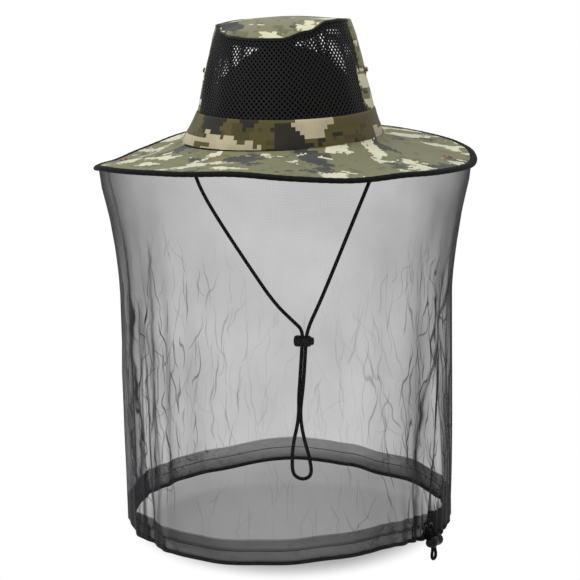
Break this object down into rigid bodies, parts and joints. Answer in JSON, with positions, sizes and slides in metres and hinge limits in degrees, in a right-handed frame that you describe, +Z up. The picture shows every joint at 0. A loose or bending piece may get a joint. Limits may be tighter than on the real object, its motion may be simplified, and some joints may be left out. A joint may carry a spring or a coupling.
{
  "type": "beekeeping veil",
  "caption": "Sun hat with a see-through mesh crown and a wired round brim, from which a tube of insect netting hangs to the shoulders, with a chin cord and a drawstring hem",
  "frame": {"origin": "centre of the head opening, in the plane of the seam between crown and brim", "axes": "+Z up along the axis of the hat, -Y forward (the way the wearer looks), +X to the wearer's left"},
  "size_m": [0.3873, 0.3874, 0.5318],
  "materials": {
    "sweatband": "matt black woven band",
    "mesh": "matt open knitted mesh, dark olive grey",
    "camo_cloth": "matt ripstop cloth, digital pattern of olive, cream and charcoal",
    "camo_band": "matt cloth, darker digital pattern",
    "tape": "matt woven tape",
    "lining": "matt black lining",
    "label": "plain woven label, nothing printed",
    "stiffener": "non-woven stiffening sheet",
    "boning": "springy strip",
    "sleeve": "crimped tin-plate sleeve",
    "binding": "matt black bias tape",
    "snap_metal": "antiqued brass, semi-gloss",
    "net": "fine black insect netting, see-through",
    "net_seam": "doubled black netting",
    "hem": "folded black netting",
    "eyelet": "black-coated metal",
    "cord": "braided black cord",
    "lock": "black moulded plastic",
    "button": "black moulded plastic",
    "spring": "bright spring wire"
  },
  "bodies": {
    "hat_and_veil": {"sweatband": "sweatband", "crown_mesh_front": "mesh", "crown_mesh_back": "mesh", "crown_strip_left": "camo_cloth", "crown_strip_right": "camo_cloth", "hat_band": "camo_band", "seam_tape": "tape", "crown_tip": "camo_cloth", "inner_cap": "lining", "size_label": "label", "brim_top_cloth": "camo_cloth", "brim_stiffener": "stiffener", "brim_under_cloth": "camo_cloth", "brim_boning": "boning", "boning_sleeve": "sleeve", "brim_binding": "binding", "crown_stud_left": "snap_metal", "crown_stud_right": "snap_metal", "brim_snap_left": "snap_metal", "brim_snap_right": "snap_metal", "snap_socket_left": "snap_metal", "snap_socket_right": "snap_metal", "veil_net_front": "net", "veil_net_back": "net", "veil_seam_left": "net_seam", "veil_seam_right": "net_seam", "hem_band": "hem", "hem_cord_in_channel": "cord", "hem_eyelets": "eyelet", "hem_cord_tail": "cord", "chin_tab_left": "tape", "chin_tab_right": "tape"},
    "chin_cord": {"chin_cord": "cord", "chin_knot_left": "cord", "chin_knot_right": "cord"},
    "chin_lock": {"chin_lock_body": "lock", "chin_lock_spring": "spring"},
    "chin_button": {"chin_lock_plunger": "button"},
    "hem_lock": {"hem_lock_body": "lock", "hem_lock_spring": "spring"},
    "hem_button": {"hem_lock_plunger": "button"}
  },
  "joints": [
    {"name": "chin_cord_swing", "type": "hinge", "parent": "hat_and_veil", "child": "chin_cord", "pos_m": [0, 0, -0.013], "axis": [1, 0, 0], "range_deg": [-24, 24]},
    {"name": "chin_lock_slide", "type": "slide", "parent": "chin_cord", "child": "chin_lock", "axis": [-0.0768, 0, -0.997], "range_m": [0, 0.035]},
    {"name": "chin_lock_button", "type": "slide", "parent": "chin_lock", "child": "chin_button", "axis": [-1, 0, 0], "range_m": [0, 0.002], "stiffness_N_per_m": 1500, "springref_m": -0.001, "deforming": ["chin_lock_spring"]},
    {"name": "hem_lock_slide", "type": "slide", "parent": "hat_and_veil", "child": "hem_lock", "axis": [0, 0, -1], "range_m": [0, 0.003]},
    {"name": "hem_lock_button", "type": "slide", "parent": "hem_lock", "child": "hem_button", "axis": [0.4384, 0.8988, 0], "range_m": [0, 0.002], "stiffness_N_per_m": 1500, "springref_m": -0.001, "deforming": ["hem_lock_spring"]}
  ]
}
